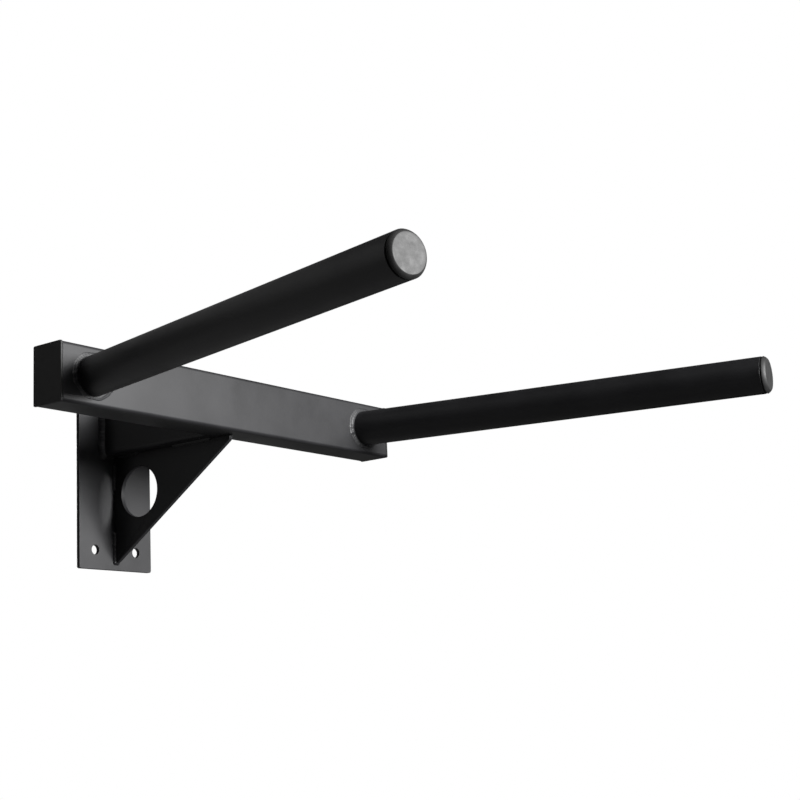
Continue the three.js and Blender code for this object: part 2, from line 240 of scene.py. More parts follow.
def round_edges(piece, wanted, radius, segments):
    choose(piece, "EDGE", wanted)
    bpy.ops.mesh.bevel(offset=radius, segments=segments, profile=0.5, affect="EDGES")
    bpy.ops.object.mode_set(mode="OBJECT")


def apply_modifier(piece, kind, **values):
    activate(piece)
    bpy.ops.object.modifier_add(type=kind)
    modifier = piece.modifiers[-1]
    for key, value in values.items():
        setattr(modifier, key, value)
    bpy.ops.object.modifier_apply(modifier=modifier.name)


def cut_round_hole(piece, centre, axis, diameter, sheet, sides):
    """Drills through a sheet of the given thickness with a cutter that is longer at both ends."""
    deselect_all()
    overrun_share = 1.5
    depth = (1 + 2 * overrun_share) * sheet
    turn = Z_AXIS.rotation_difference(axis).to_euler()
    bpy.ops.mesh.primitive_cylinder_add(
        vertices=sides, radius=diameter / 2, depth=depth, location=centre, rotation=turn,
    )
    cutter = bpy.context.object
    apply_modifier(piece, "BOOLEAN", operation="DIFFERENCE", object=cutter, solver="EXACT")
    bpy.data.objects.remove(cutter)


def bore_through(piece, axis, wall):
    """Makes a solid length into a tube: both ends are inset by the wall and joined inside."""
    choose(piece, "FACE", face_points(axis, -axis))
    bpy.ops.mesh.inset(thickness=wall, use_even_offset=True)
    bpy.ops.mesh.bridge_edge_loops()
    bpy.ops.object.mode_set(mode="OBJECT")


def soften(piece, radius, angle=50, segments=3):
    """Rounds what is sharp, and shades the rest smooth."""
    activate(piece)
    bpy.ops.object.shade_smooth()
    apply_modifier(
        piece,
        "BEVEL",
        width=radius,
        segments=segments,
        limit_method="ANGLE",
        angle_limit=math.radians(angle),
        harden_normals=True,
        use_clamp_overlap=True,
    )


def duplicate(piece, name):
    """A copy of a piece, with a mesh of its own."""
    activate(piece)
    bpy.ops.object.duplicate(linked=False)
    twin = bpy.context.object
    twin.name = name
    return twin


def finish_piece(piece, material, slot, *nodes):
    """Gives a piece its finish and seats it on the frame in place of the nodes that it stands for."""
    piece.data.materials.clear()
    piece.data.materials.append(material)
    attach(piece, "root")
    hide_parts(*nodes)


# Materials

def add_node(tree, kind, values=None, links=None):
    """Adds a node, sets its properties and sockets, and links its inputs."""
    node = tree.nodes.new(kind)
    for key, value in (values or {}).items():
        if isinstance(key, str) and hasattr(node, key):
            setattr(node, key, value)
        else:
            node.inputs[key].default_value = value
    for key, output in (links or {}).items():
        tree.links.new(output, node.inputs[key])
    return node


def new_material(name):
    material = bpy.data.materials.get(name)
    if material:
        return material, None
    material = bpy.data.materials.new(name)
    material.use_nodes = True
    material.node_tree.nodes.clear()
    return material, material.node_tree


def noise(tree, size, detail, roughness):
    """Noise in the object's own space, with forms of about the given size."""
    place = add_node(tree, "ShaderNodeTexCoord").outputs["Object"]
    node = add_node(
        tree, "ShaderNodeTexNoise",
        {"Scale": 1 / size, "Detail": detail, "Roughness": roughness}, {"Vector": place},
    )
    return node.outputs["Fac"]


def relief(tree, height, strength, distance, under=None):
    """A bumpy normal, on top of the one that is given as under."""
    links = {"Height": height}
    if under is not None:
        links["Normal"] = under
    node = add_node(tree, "ShaderNodeBump", {"Strength": strength, "Distance": distance}, links)
    return node.outputs["Normal"]


def mottled_surface(tree, mottling, base, shades, roughness, normal, ior):
    """A surface whose shade and roughness follow a gentle mottling, each between two values."""
    low, high = 0.3, 0.7
    tint = add_node(tree, "ShaderNodeValToRGB", links={"Fac": mottling})
    for element, place, shade in zip(tint.color_ramp.elements, (low, high), shades):
        element.position = place
        element.color = tuple(share * shade for share in base) + (1,)
    gloss = add_node(
        tree, "ShaderNodeMapRange",
        {"From Min": low, "From Max": high, "To Min": roughness[0], "To Max": roughness[1]},
        {"Value": mottling},
    )
    shader = add_node(
        tree, "ShaderNodeBsdfPrincipled", {"IOR": ior},
        {
            "Base Color": tint.outputs["Color"],
            "Roughness": gloss.outputs["Result"],
            "Normal": normal,
        },
    )
    add_node(tree, "ShaderNodeOutputMaterial", links={"Surface": shader.outputs["BSDF"]})


def powder_coat():
    """Satin polyester powder coat on steel, baked: a sealed, even black with a fine orange peel."""
    material, tree = new_material("satin_powder_coat")
    if tree is None:
        return material
    # The peel of a real coat repeats every 1.5 mm. It is drawn every 4 mm, so that it shows.
    peel = noise(tree, size=4 * MM, detail=2.0, roughness=0.5)
    grain = noise(tree, size=0.9 * MM, detail=1.0, roughness=0.6)
    cloud = noise(tree, size=60 * MM, detail=3.0, roughness=0.55)
    waves = relief(tree, peel, strength=1.0, distance=0.035 * MM)
    surface = relief(tree, grain, strength=0.6, distance=0.008 * MM, under=waves)
    mottled_surface(
        tree, cloud, settings().finish.coat,
        shades=(0.85, 1.2), roughness=(0.42, 0.5), normal=surface, ior=1.5,
    )
    return material


def moulded_plastic():
    """Injection-moulded polyethylene: a spark-eroded grain that scatters light more than the coat."""
    material, tree = new_material("moulded_polyethylene")
    if tree is None:
        return material
    # Spark-eroded grain is near 0.2 mm. It is drawn at 1 mm, so that it shows.
    grain = noise(tree, size=1.0 * MM, detail=2.0, roughness=0.6)
    flow = noise(tree, size=9 * MM, detail=4.0, roughness=0.6)
    sink = relief(tree, flow, strength=1.0, distance=0.03 * MM)
    surface = relief(tree, grain, strength=0.8, distance=0.02 * MM, under=sink)
    mottled_surface(
        tree, flow, settings().finish.plastic,
        shades=(0.8, 1.3), roughness=(0.53, 0.63), normal=surface, ior=1.51,
    )
    return material


# Steel frame

def make_wall_plate():
    """The flat plate with its four bolt holes."""
    steel = settings().steel
    plate = add_block("plate_sheet", plate_low, plate_high)
    round_edges(plate, edge_runs(Y_AXIS), steel.sheet_corner, segments=5)
    sheet = plate_high.y - plate_low.y
    middle = (plate_low.y + plate_high.y) / 2
    for x in (-steel.bolt_across / 2, steel.bolt_across / 2):
        for z in (plate_low.z + steel.bolt_inset, plate_high.z - steel.bolt_inset):
            cut_round_hole(plate, (x, middle, z), Y_AXIS, steel.bolt_hole, sheet, SMALL_CIRCLE)
    soften(plate, steel.sheet_edge)
    finish_piece(plate, powder_coat(), "powder_coat", "wall_plate")


def make_box_section(name, low, high, axis, node):
    """An open length of rectangular tube with rounded corners."""
    steel = settings().steel
    section = add_block(name, low, high)
    round_edges(section, edge_runs(axis), steel.section_corner, segments=8)
    bore_through(section, axis, steel.section_wall)
    soften(section, steel.tube_edge)
    finish_piece(section, powder_coat(), "powder_coat", node)


def make_gusset():
    """The triangular sheet with blunt noses and its large hole."""
    steel = settings().steel
    gusset = add_block("gusset_sheet", gusset_low, gusset_high)
    toe = Vector((0, gusset_high.y - steel.gusset_nose, gusset_low.z))
    tip = Vector((0, gusset_low.y, gusset_high.z - steel.gusset_nose))
    below = (tip - toe).cross(X_AXIS).normalized()
    choose(gusset, "FACE", lambda face: True)
    bpy.ops.mesh.bisect(
        plane_co=toe,
        plane_no=-below if below.z > 0 else below,
        use_fill=True,
        clear_outer=True,
    )
    bpy.ops.object.mode_set(mode="OBJECT")

    def at_nose(edge):
        """Whether the middle of an edge lies within a millimetre of a nose's corner."""
        spot = (edge.verts[0].co + edge.verts[1].co) / 2
        return min((spot - tip).length, (spot - toe).length) < MM

    round_edges(gusset, at_nose, steel.gusset_round, segments=4)
    centre = (
        0,
        gusset_high.y - steel.gusset_hole_from_plate,
        gusset_high.z - steel.gusset_hole_drop,
    )
    sheet = gusset_high.x - gusset_low.x
    cut_round_hole(gusset, centre, X_AXIS, steel.gusset_hole, sheet, LARGE_CIRCLE)
    soften(gusset, steel.sheet_edge, angle=20)
    finish_piece(gusset, powder_coat(), "powder_coat", "gusset")


# Handles

def handle_place(side):
    """Turns +Z into the handle's axis and moves the origin to the middle of the handle's foot."""
    handle = settings().handle
    foot = Vector((
        side * handle.spacing / 2,
        bar_low.y,
        (bar_low.z + bar_high.z) / 2,
    ))
    outward = Matrix.Rotation(side * handle.splay, 4, "Z")
    return Matrix.Translation(foot) @ outward @ Matrix.Rotation(QUARTER, 4, "X")


def put_in_place(piece, matrix):
    activate(piece)
    piece.matrix_world = matrix
    bpy.ops.object.transform_apply(location=True, rotation=True, scale=True)


def make_handle_tubes():
    """Round tubes whose feet are cut flat to the crossbar's face."""
    handle = settings().handle
    end = handle.reach - handle.cap_head - handle.cap_groove
    spare = handle.diameter / 2
    for word, side in SIDES.items():
        deselect_all()
        bpy.ops.mesh.primitive_cylinder_add(
            vertices=LARGE_CIRCLE,
            radius=handle.diameter / 2,
            depth=end + spare,
            location=(0, 0, (end - spare) / 2),
        )
        tube = name_new(f"grip_tube_{word}")
        bore_through(tube, Z_AXIS, handle.wall)
        put_in_place(tube, handle_place(side))
        choose(tube, "FACE", lambda face: True)
        bpy.ops.mesh.bisect(plane_co=(0, bar_low.y, 0), plane_no=Y_AXIS, clear_outer=True)
        bpy.ops.mesh.select_all(action="DESELECT")
        bpy.ops.mesh.select_mode(type="EDGE")
        bpy.ops.mesh.select_non_manifold()
        bpy.ops.mesh.bridge_edge_loops()
        bpy.ops.object.mode_set(mode="OBJECT")
        soften(tube, settings().steel.tube_edge)
        finish_piece(tube, powder_coat(), "powder_coat", f"handle_tube_{word}")


def grow(centre, steps):
    """Extrudes the selected face step by step: each step moves it, then scales it about the axis."""
    for shift, scale in steps:
        bpy.ops.mesh.extrude_region_move(TRANSFORM_OT_translate={"value": shift})
        centre = centre + shift
        bpy.ops.transform.resize(value=scale, center_override=centre)


def turn_outwards():
    """Ends edit mode with every face outwards."""
    bpy.ops.mesh.select_all(action="SELECT")
    bpy.ops.mesh.normals_make_consistent(inside=False)
    bpy.ops.object.mode_set(mode="OBJECT")


def extrude_rings(name, rings, vertices):
    """A turned piece about Z: a disc is extruded from ring to ring and scaled to each radius."""
    radius, height = rings[0]
    centre = Vector((0, 0, height))
    deselect_all()
    bpy.ops.mesh.primitive_circle_add(
        vertices=vertices, radius=radius, fill_type="NGON", location=centre,
    )
    piece = name_new(name)
    choose(piece, "FACE", lambda face: True)
    steps = []
    for next_radius, next_height in rings[1:]:
        share = next_radius / radius
        steps.append((Vector((0, 0, next_height - height)), (share, share, 1)))
        radius, height = next_radius, next_height
    grow(centre, steps)
    turn_outwards()
    return piece


def shank_rings(seat, bore):
    """Radius and height of the rings of the cap's shank: each rib rises slowly and drops at once."""
    ribs = 3
    pitch = 6 * MM
    rise, drop = 1.6 * MM, 0.1 * MM
    slack, rib_height = 0.3 * MM, 1.7 * MM
    rib = bore - slack
    core = rib - rib_height
    rings = [(core, seat - (ribs + 1) * pitch)]
    for i in range(ribs, 0, -1):
        crest = seat - i * pitch
        rings += [(core, crest - rise), (rib, crest), (core, crest + drop)]
    return rings + [(core, seat)]


def cap_rings():
    """Radius and height of the cap's rings, from the end of its shank to the middle of its face."""
    handle = settings().handle
    outer = handle.diameter / 2
    seat = handle.reach - handle.cap_head - handle.cap_groove
    rings = shank_rings(seat, outer - handle.wall)
    neck = outer - handle.cap_groove_depth
    head = seat + handle.cap_groove
    lip, chamfer = 0.1 * MM, 0.3 * MM
    rings += [(neck, seat + lip), (neck, head), (outer - chamfer, head)]
    steps = 10
    # The rim bows a little between its corner with the side and its crease at the face
    first, last = math.radians(22), math.radians(56)
    bow = handle.cap_rim / (math.cos(first) - math.cos(last))
    crease = handle.reach - handle.cap_crease_depth
    for i in range(steps + 1):
        tilt = first + (last - first) * i / steps
        rings.append((
            outer - bow * (math.cos(first) - math.cos(tilt)),
            crease - bow * (math.sin(last) - math.sin(tilt)),
        ))
    edge = outer - handle.cap_rim - handle.cap_crease_width
    rings.append((edge, handle.reach))
    for i in range(1, steps + 1):
        share = 1 - i / (steps + 1)
        dish = handle.cap_dish * (1 - share ** 2)
        rings.append((edge * share, handle.reach - dish))
    return rings


def make_end_caps():
    """Round press-in caps at the handles' free ends."""
    cap = extrude_rings("grip_cap_left", cap_rings(), LARGE_CIRCLE)
    activate(cap)
    bpy.ops.object.shade_smooth_by_angle(angle=math.radians(30))
    twin = duplicate(cap, "grip_cap_right")
    for piece, word in ((cap, "left"), (twin, "right")):
        put_in_place(piece, handle_place(SIDES[word]))
        finish_piece(piece, moulded_plastic(), "cap_plastic", f"handle_end_cap_{word}")


# Crossbar end plugs

def make_end_plugs():
    """Rectangular press-in plugs: a plain head, and a hollow shank whose fins grip the tube."""
    sizes = settings().plug
    tube_wall = settings().steel.section_wall
    fins = 3
    fin_height = 1.8 * MM
    fin_gap, fin_step, fin_slope = 4.5 * MM, 0.1 * MM, 1.4 * MM
    # The seam between the head and the tube's end shows as a dark line
    seat = bar_high.x + sizes.seam
    plug = add_block("bar_plug_right", Vector((seat, plug_low.y, plug_low.z)), plug_high)
    round_edges(plug, edge_runs(X_AXIS), sizes.corner, segments=4)
    size = plug_high - plug_low
    bore = Vector((1, 1 - 2 * tube_wall / size.y, 1 - 2 * tube_wall / size.z))
    core = Vector((1, bore.y - 2 * fin_height / size.y, bore.z - 2 * fin_height / size.z))
    swell = (1, bore.y / core.y, bore.z / core.z)
    shrink = (1, core.y / bore.y, core.z / bore.z)
    even = (1, 1, 1)
    steps = [(Vector(), core)]
    for _ in range(fins):
        steps += [
            (-X_AXIS * fin_gap, even),
            (-X_AXIS * fin_step, swell),
            (-X_AXIS * fin_slope, shrink),
        ]
    last_fin = seat - fins * (fin_gap + fin_step + fin_slope)
    steps.append((X_AXIS * (plug_low.x - last_fin), even))
    choose(plug, "FACE", face_points(-X_AXIS))
    grow(Vector((seat, (plug_low.y + plug_high.y) / 2, (plug_low.z + plug_high.z) / 2)), steps)
    bpy.ops.mesh.inset(thickness=sizes.wall)
    bpy.ops.mesh.extrude_region_move(
        TRANSFORM_OT_translate={"value": (seat - plug_low.x - sizes.floor, 0, 0)},
    )
    turn_outwards()
    soften(plug, sizes.edge)
    twin = duplicate(plug, "bar_plug_left")
    turn = Matrix.Rotation(math.pi, 4, "Z")
    middle = Vector((0, (bar_low.y + bar_high.y) / 2, 0))
    put_in_place(twin, Matrix.Translation(middle) @ turn @ Matrix.Translation(-middle))
    for piece, word in ((plug, "right"), (twin, "left")):
        finish_piece(piece, moulded_plastic(), "plug_plastic", f"crossbar_end_plug_{word}")


# Weld beads

# Waves that a bead swings by: the swing, then the wavelength and the phase of each wave
LONG_SWAY = (0.07, (47 * MM, 0.0))
SHORT_SWAY = (0.06, (17 * MM, 1.3))
RIPPLE_SWAY = (0.55, (29 * MM, 0.4), (13 * MM, 2.1))
DRIFT = (0.35, (33 * MM, 0.9))
# A lump: its reach along the bead, its height, and how much it widens the leg
LUMP_REACH = 2 * MM
LUMP_HEIGHT = 0.8 * MM
LUMP_WIDTH_SHARE = 0.12
# Shares of the leg: the crown over a flat fillet, and what is added where two passes are squeezed
CROWN_SHARE = 0.12
SQUEEZE_SHARE = 0.2
# Share of its leg with which a bead starts, and share of its rise that even a thin bead keeps
START_SHARE = 0.3
RISE_SHARE = 0.4
# Facets across a bead: those at its toes, and those of each pass
TOE_FACETS = 4
PASS_FACETS = 6
# How far a ripple bends along the bead, in ripples, and the stops that draw one ripple
RIPPLE_BEND = 0.55
STOPS_PER_RIPPLE = 8
# A turn on the spot counts as an arc of this radius
PIVOT_RADIUS = 4 * MM


class Stop:
    """A place on a bead's run: the corner that it fills, the two ways off it and its fullness."""

    def __init__(self, corner, first, second, share=1.0):
        self.corner = corner
        self.first = first
        self.second = second
        self.share = share


def walk(stops, step, closed):
    """Evenly spaced stops along a run, each with its distance from the start, and the run's length."""
    chain = stops + stops[:1] if closed else stops
    places = [0.0]
    for before, after in zip(chain, chain[1:]):
        gap = (after.corner - before.corner).length
        turn = before.first.angle(after.first) * PIVOT_RADIUS
        places.append(places[-1] + max(gap, turn))
    count = max(2, round(places[-1] / step))
    walked = []
    leg = 0
    for i in range(count + (0 if closed else 1)):
        distance = places[-1] * i / count
        while leg < len(chain) - 2 and places[leg + 1] < distance:
            leg += 1
        part = (distance - places[leg]) / (places[leg + 1] - places[leg])
        before, after = chain[leg], chain[leg + 1]
        walked.append((distance, Stop(
            before.corner.lerp(after.corner, part),
            before.first.lerp(after.first, part).normalized(),
            before.second.lerp(after.second, part).normalized(),
            before.share + (after.share - before.share) * part,
        )))
    return walked, places[-1]


def lay_bead(name, node, stops, leg, rise=None, closed=False, passes=1, lump_shares=()):
    """A fillet bead along the stops, with the ripples and lumps that the torch leaves.

    Two passes lie side by side with a valley between them, and bulge where the bead is narrow.
    Lumps stand at the given shares of the run.
    """
    weld = settings().weld
    rise = rise or leg
    facets = TOE_FACETS + PASS_FACETS * passes
    walked, whole = walk(stops, weld.ripple_pitch / STOPS_PER_RIPPLE, closed)
    ripples = round(whole / weld.ripple_pitch)
    deselect_all()
    bpy.ops.mesh.primitive_grid_add(x_subdivisions=len(walked) - 1, y_subdivisions=facets + 1)
    bead = name_new(name)
    across = len(walked)

    def waver(distance, swing, *waves):
        """Swings by waves that close on themselves over the whole run."""
        for wavelength, phase in waves:
            count = max(1, round(whole / wavelength))
            swing *= math.sin(math.tau * count * distance / whole + phase)
        return swing

    for i, (distance, stop) in enumerate(walked):
        from_end = min(distance, whole - distance)
        run_in = 1.0 if closed else min(1.0, (from_end + START_SHARE * leg) / leg)
        swell = sum(math.exp(-((distance - share * whole) / LUMP_REACH) ** 2) for share in lump_shares)
        size = stop.share * math.sqrt(run_in * (2 - run_in)) * (1 + LUMP_WIDTH_SHARE * swell)
        sway = 1 + waver(distance, *LONG_SWAY) + waver(distance, *SHORT_SWAY)
        lump = 1 + waver(distance, *RIPPLE_SWAY)
        beat = ripples * distance / whole + waver(distance, *DRIFT)
        root = stop.corner - (stop.first + stop.second) * weld.overlap
        first = stop.first * (leg * size * sway + weld.overlap)
        kept = RISE_SHARE + (1 - RISE_SHARE) * size
        second = stop.second * (rise * kept * run_in + weld.overlap)
        bead.data.vertices[i].co = root
        for j in range(facets + 1):
            turn = j / facets
            bow = math.sin(math.pi * turn)
            lobe = abs(math.sin(math.pi * passes * turn))
            wave = abs(math.sin(math.pi * (beat + RIPPLE_BEND * (2 * turn - 1) ** 2)))
            crown = CROWN_SHARE / passes ** 2 * leg * size * lobe + LUMP_HEIGHT * swell * bow
            crown += SQUEEZE_SHARE * (passes - 1) * (1 - stop.share) * leg * bow
            crown += weld.ripple_height * lump * wave * bow * run_in / passes ** 2
            out = (stop.first + stop.second).normalized() * crown
            point = root + first * (1 - turn) + second * turn + out
            bead.data.vertices[(j + 1) * across + i].co = point
    close_bead(bead, across, facets + 2, closed)
    activate(bead)
    bpy.ops.object.shade_smooth_by_angle(angle=math.radians(60))
    finish_piece(bead, powder_coat(), "coated_weld", node)


def close_bead(bead, across, rows, closed):
    """Joins the grid's first and last rows, then its ends, into one closed bead."""
    def outer_row(edge):
        row = {vertex.index // across for vertex in edge.verts}
        return row == {0} or row == {rows - 1}

    choose(bead, "EDGE", outer_row)
    bpy.ops.mesh.bridge_edge_loops()
    bpy.ops.mesh.select_all(action="DESELECT")
    bpy.ops.mesh.select_non_manifold()
    if closed:
        bpy.ops.mesh.bridge_edge_loops()
    else:
        bpy.ops.mesh.fill_holes(sides=0)
    turn_outwards()


def turn_corner(centre, radius, start, steps=6):
    """Stops on the wall plate, round a convex corner of a quarter turn."""
    stops = []
    for i in range(steps + 1):
        angle = start + QUARTER * i / steps
        first = Vector((math.cos(angle), 0, math.sin(angle)))
        stops.append(Stop(centre + first * radius, first, FROM_WALL))
    return stops


def make_handle_welds():
    """Rings of two passes round the handles' feet, widest beside the tube."""
    handle, weld = settings().handle, settings().weld
    steps = 96
    # Fullness above and below the tube
    narrow_share = 0.5
    # Shares of the way round at which lumps stand
    lump_shares = (0.505, 0.55, 0.93)
    for word, side in SIDES.items():
        place = handle_place(side)
        turn = place.to_3x3()
        along = (turn @ Z_AXIS).normalized()
        stops = []
        for i in range(steps):
            angle = math.tau * i / steps
            radial = turn @ Vector((math.cos(angle), math.sin(angle), 0))
            on_tube = place.translation + radial * handle.diameter / 2
            corner = on_tube + along * ((bar_low.y - on_tube.y) / along.y)
            flat = Vector((radial.x, 0, radial.z)).normalized()
            share = narrow_share + (1 - narrow_share) * abs(flat.x)
            stops.append(Stop(corner, flat, along, share))
        lay_bead(
            f"grip_bead_{word}", f"handle_weld_{word}", stops, weld.handle_leg,
            rise=weld.handle_rise, closed=True, passes=2, lump_shares=lump_shares,
        )


def make_arm_welds():
    """The bead round the arm's foot, and those beside the arm behind the crossbar."""
    steel, weld = settings().steel, settings().weld
    radius = steel.section_corner
    inner = Vector((arm_high.x - radius, 0, (arm_high.z - arm_low.z) / 2 - radius))
    middle = Vector((0, plate_low.y, (arm_low.z + arm_high.z) / 2))

    def corner(x, z, start):
        return turn_corner(middle + Vector((x * inner.x, 0, z * inner.z)), radius, start)

    def below(x):
        return Stop(Vector((x, plate_low.y, arm_low.z)), -Z_AXIS, FROM_WALL)

    stops = [below(gusset_high.x)]
    stops += corner(1, -1, -QUARTER) + corner(1, 1, 0)
    stops += corner(-1, 1, QUARTER) + corner(-1, -1, math.pi)
    stops += [below(gusset_low.x)]
    lay_bead("arm_bead", "arm_to_plate_weld", stops, weld.plate_leg)
    for word, side in SIDES.items():
        ends = [
            Stop(Vector((side * arm_high.x, bar_high.y, z)), X_AXIS * side, Y_AXIS)
            for z in (arm_low.z + radius, arm_high.z - radius)
        ]
        node = f"arm_to_crossbar_weld_{word}"
        lay_bead(f"crossbar_bead_{word}", node, ends, weld.crossbar_leg)


def make_gusset_welds():
    """The bead round the gusset's toe, and its stitches on the plate and under the arm."""
    leg = settings().weld.gusset_leg
    left, right = gusset_low.x, gusset_high.x
    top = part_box("gusset_toe_weld")[1].z
    toe = Vector((0, plate_low.y, gusset_low.z))
    stops = [Stop(Vector((left, plate_low.y, top)), -X_AXIS, FROM_WALL)]
    stops += turn_corner(toe + X_AXIS * left, 0, math.pi)
    stops += turn_corner(toe + X_AXIS * right, 0, -QUARTER)
    stops += [Stop(Vector((right, plate_low.y, top)), X_AXIS, FROM_WALL)]
    lay_bead("toe_bead", "gusset_toe_weld", stops, leg)
    for word, side in SIDES.items():
        x = side * right
        outward = X_AXIS * side
        node = f"gusset_to_plate_weld_{word}"
        low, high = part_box(node)
        ends = [Stop(Vector((x, plate_low.y, z)), outward, FROM_WALL) for z in (low.z, high.z)]
        lay_bead(f"plate_stitch_{word}", node, ends, leg)
        for place in ("rear", "front"):
            node = f"gusset_to_arm_weld_{place}_{word}"
            low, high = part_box(node)
            ends = [Stop(Vector((x, y, gusset_high.z)), outward, -Z_AXIS) for y in (low.y, high.y)]
            lay_bead(f"arm_stitch_{place}_{word}", node, ends, leg)


def finish_kept_nodes():
    """The two groove beads keep the frame's shape and get the powder coat."""
    for word in ("top", "bottom"):
        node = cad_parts[f"arm_to_crossbar_weld_{word}"]
        node.data.materials.clear()
        node.data.materials.append(powder_coat())


# Stage

# The lamps face this point, near the middle of the part
LAMP_TARGET = Vector((0, -0.4, 0))


def add_lamp(name, place, size, watts):
    """A soft rectangular lamp."""
    lamp_data = bpy.data.lights.new(name, "AREA")
    lamp_data.shape = "RECTANGLE"
    lamp_data.size, lamp_data.size_y = size
    lamp_data.energy = watts
    lamp = bpy.data.objects.new(name, lamp_data)
    bpy.context.scene.collection.objects.link(lamp)
    lamp.location = place
    lamp.rotation_euler = (LAMP_TARGET - Vector(place)).to_track_quat("-Z", "Y").to_euler()


def make_lamps():
    """The light of the photograph, and a smaller one for the back."""
    add_lamp("front_softbox", place=(0.93, -4.5, 0.88), size=(1.65, 1.5), watts=412)
    # Straight behind, no handle mirrors it towards the photograph's camera
    add_lamp("rear_softbox", place=(0.75, 3.6, 0.3), size=(0.9, 0.7), watts=150)


def seen_white(tree):
    """One where the camera sees the surface, straight or in gloss or through glass."""
    path = add_node(tree, "ShaderNodeLightPath")
    seen = path.outputs["Is Camera Ray"]
    for kind in ("Is Glossy Ray", "Is Transmission Ray"):
        seen = add_node(
            tree, "ShaderNodeMath", {"operation": "MAXIMUM"}, {0: seen, 1: path.outputs[kind]},
        ).outputs["Value"]
    return seen


def make_world():
    """A white background that lights the part only a little."""
    world = bpy.data.worlds.new("studio")
    bpy.context.scene.world = world
    world.use_nodes = True
    tree = world.node_tree
    tree.nodes.clear()
    room = add_node(tree, "ShaderNodeBackground", {"Color": (1, 1, 1, 1), "Strength": 0.08})
    white = add_node(tree, "ShaderNodeBackground", {"Color": (1, 1, 1, 1), "Strength": 1.0})
    mixed = add_node(
        tree, "ShaderNodeMixShader",
        links={0: seen_white(tree), 1: room.outputs[0], 2: white.outputs[0]},
    )
    add_node(tree, "ShaderNodeOutputWorld", links={"Surface": mixed.outputs["Shader"]})


def make_floor():
    """A pale round floor that fades into the white, and is clear from beneath."""
    radius, drop = 7, 1.5
    fade_start, fade_end = 2.5, 6.8
    glow_share = 0.6
    deselect_all()
    bpy.ops.mesh.primitive_circle_add(
        vertices=96, radius=radius, fill_type="NGON", location=(0, 0, -drop),
    )
    floor = name_new("studio_floor")
    material, tree = new_material("matt_floor")
    place = add_node(tree, "ShaderNodeTexCoord").outputs["Object"]
    flat = add_node(tree, "ShaderNodeVectorMath", {"operation": "MULTIPLY", 1: (1, 1, 0)}, {0: place})
    far = add_node(tree, "ShaderNodeVectorMath", {"operation": "LENGTH"}, {0: flat.outputs["Vector"]})
    fade = add_node(
        tree, "ShaderNodeMapRange",
        {"interpolation_type": "SMOOTHSTEP", "From Min": fade_start, "From Max": fade_end},
        {"Value": far.outputs["Value"]},
    )
    back = add_node(tree, "ShaderNodeNewGeometry").outputs["Backfacing"]
    clear = add_node(
        tree, "ShaderNodeMath", {"operation": "MAXIMUM"}, {0: fade.outputs["Result"], 1: back},
    )
    matt = add_node(
        tree, "ShaderNodeBsdfDiffuse", {"Color": tuple(settings().finish.floor) + (1,)},
    )
    glow = add_node(tree, "ShaderNodeEmission", {"Color": (1, 1, 1, 1), "Strength": 1.0})
    lift = add_node(
        tree, "ShaderNodeMath", {"operation": "MULTIPLY", 1: glow_share}, {0: seen_white(tree)},
    )
    lit = add_node(
        tree, "ShaderNodeMixShader",
        links={0: lift.outputs["Value"], 1: matt.outputs["BSDF"], 2: glow.outputs["Emission"]},
    )
    nothing = add_node(tree, "ShaderNodeBsdfTransparent")
    mixed = add_node(
        tree, "ShaderNodeMixShader",
        links={0: clear.outputs["Value"], 1: lit.outputs["Shader"], 2: nothing.outputs["BSDF"]},
    )
    add_node(tree, "ShaderNodeOutputMaterial", links={"Surface": mixed.outputs["Shader"]})
    floor.data.materials.append(material)


def flag_cloth(name, strength):
    """An evenly lit cloth. Its strength is its tone, from black at 0 to white at 1."""
    material, tree = new_material(name)
    glow = add_node(tree, "ShaderNodeEmission", {"Color": (1, 1, 1, 1), "Strength": strength})
    add_node(tree, "ShaderNodeOutputMaterial", links={"Surface": glow.outputs["Emission"]})
    return material


def add_flag(name, low, high, material):
    """A cloth that only gloss and bounced light see: it keeps the white out of the dark faces."""
    flag = add_block(name, Vector(low), Vector(high))
    flag.visible_camera = False
    flag.visible_shadow = False
    flag.data.materials.append(material)


def hang_cloths():
    """Cloths round the part. Its gloss mirrors them, in the tones that the photograph shows."""
    black = flag_cloth("black_cloth", 0.01)
    dim = flag_cloth("dim_cloth", 0.1)
    grey = flag_cloth("grey_cloth", 0.19)
    soft = flag_cloth("soft_cloth", 0.21)
    light = flag_cloth("light_cloth", 0.42)
    left, right = -2.4, 2.2
    front, rear = -4.0, 0.6
    floor, roof = -1.45, 3.0
    thickness = 0.01
    back = rear + thickness
    # Where one cloth ends and its neighbour begins
    rear_hem = -0.1
    rear_left_end = -0.95
    low_left_end = 1.0
    right_front_end = -2.2
    # Where the cloths at the front left and over the part end
    front_left_end = -0.9
    roof_front_end = -1.2
    # A small card hangs just in front of the black cloth
    card_left, card_right = -0.9, 1.0
    card_low, card_high = 0.5, 1.3
    card_rear = rear - thickness
    card_front = card_rear - thickness
    add_flag("rear_flag", (rear_left_end, rear, rear_hem), (right, back, roof), black)
    add_flag("rear_left_flag", (left, rear, rear_hem), (rear_left_end, back, roof), light)
    add_flag("rear_card", (card_left, card_front, card_low), (card_right, card_rear, card_high), soft)
    add_flag("low_flag", (left, rear, floor), (low_left_end, back, rear_hem), grey)
    add_flag("low_right_flag", (low_left_end, rear, floor), (right, back, rear_hem), dim)
    add_flag("left_flag", (left - thickness, front, floor), (left, back, roof), black)
    add_flag("front_left_flag", (left, front - thickness, floor), (front_left_end, front, roof), black)
    add_flag("floor_flag", (left, front, floor - thickness), (right, back, floor), dim)
    add_flag("right_flag", (right, front, floor), (right + thickness, right_front_end, roof), grey)
    add_flag("right_rear_flag", (right, right_front_end, floor), (right + thickness, back, roof), black)
    add_flag("top_flag", (left, roof_front_end, roof), (right, back, roof + thickness), black)


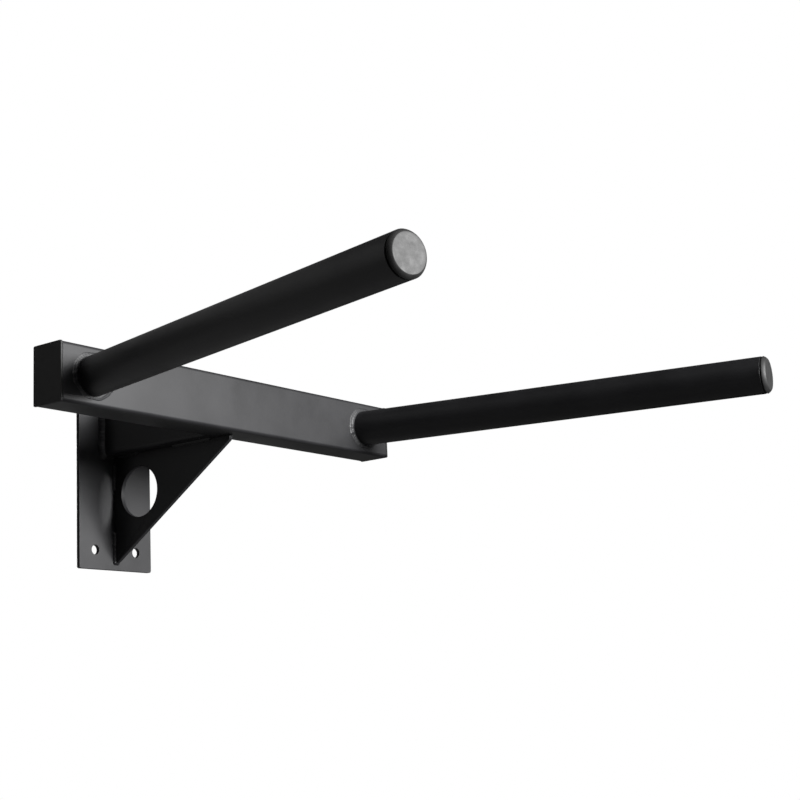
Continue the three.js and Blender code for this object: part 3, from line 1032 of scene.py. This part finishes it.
def make_camera():
    """The photograph's camera, solved from the part's edges."""
    camera_data = bpy.data.cameras.new("studio_camera")
    camera_data.lens = 73.284
    camera_data.sensor_width = 36
    camera = bpy.data.objects.new("studio_camera", camera_data)
    bpy.context.scene.collection.objects.link(camera)
    camera.location = Vector((-1570.42, -1715.29, -400.3)) * MM
    camera.rotation_euler = [math.radians(turn) for turn in (101.7893, 2.5201, -52.1994)]
    bpy.context.scene.camera = camera


def make_stage():
    make_camera()
    make_world()
    make_floor()
    hang_cloths()
    make_lamps()
    bpy.context.scene.view_settings.view_transform = "Standard"


# Operators

class DIPBAR_OT_steel(bpy.types.Operator):
    """Models the wall plate, the box sections and the gusset"""
    bl_idname = "dip_bar.steel"
    bl_label = "Steel frame"

    def execute(self, context):
        make_wall_plate()
        make_box_section("arm_section", arm_low, arm_high, Y_AXIS, "support_arm")
        make_box_section("bar_section", bar_low, bar_high, X_AXIS, "crossbar")
        make_gusset()
        return {"FINISHED"}


class DIPBAR_OT_handles(bpy.types.Operator):
    """Models the two handle tubes"""
    bl_idname = "dip_bar.handles"
    bl_label = "Handles"

    def execute(self, context):
        make_handle_tubes()
        return {"FINISHED"}


class DIPBAR_OT_plastics(bpy.types.Operator):
    """Models the moulded caps and plugs"""
    bl_idname = "dip_bar.plastics"
    bl_label = "Caps and plugs"

    def execute(self, context):
        make_end_caps()
        make_end_plugs()
        return {"FINISHED"}


class DIPBAR_OT_welds(bpy.types.Operator):
    """Lays the weld beads"""
    bl_idname = "dip_bar.welds"
    bl_label = "Weld beads"

    def execute(self, context):
        make_handle_welds()
        make_arm_welds()
        make_gusset_welds()
        finish_kept_nodes()
        return {"FINISHED"}


class DIPBAR_OT_stage(bpy.types.Operator):
    """Sets the studio: floor, lamps, background and camera"""
    bl_idname = "dip_bar.stage"
    bl_label = "Stage"

    def execute(self, context):
        make_stage()
        return {"FINISHED"}


class DIPBAR_PT_panel(bpy.types.Panel):
    """Lists the steps in the 3D view's sidebar"""
    bl_idname = "DIPBAR_PT_panel"
    bl_label = "Dip Bar"
    bl_space_type = "VIEW_3D"
    bl_region_type = "UI"
    bl_category = "Dip Bar"

    def draw(self, context):
        for step in STEPS:
            self.layout.operator(step.bl_idname)


GROUPS = (
    DipBarSteelSizes, DipBarHandleSizes, DipBarPlugSizes, DipBarWeldSizes, DipBarFinish, DipBarSettings,
)
STEPS = (DIPBAR_OT_steel, DIPBAR_OT_handles, DIPBAR_OT_plastics, DIPBAR_OT_welds, DIPBAR_OT_stage)
CLASSES = GROUPS + STEPS + (DIPBAR_PT_panel,)


def register():
    for added in CLASSES:
        bpy.utils.register_class(added)
    bpy.types.Scene.dip_bar = bpy.props.PointerProperty(type=DipBarSettings)


def unregister():
    del bpy.types.Scene.dip_bar
    for added in reversed(CLASSES):
        bpy.utils.unregister_class(added)


def main():
    register()
    bpy.ops.dip_bar.steel()
    bpy.ops.dip_bar.handles()
    bpy.ops.dip_bar.plastics()
    bpy.ops.dip_bar.welds()
    bpy.ops.dip_bar.stage()


if __name__ == "__main__":
    main()
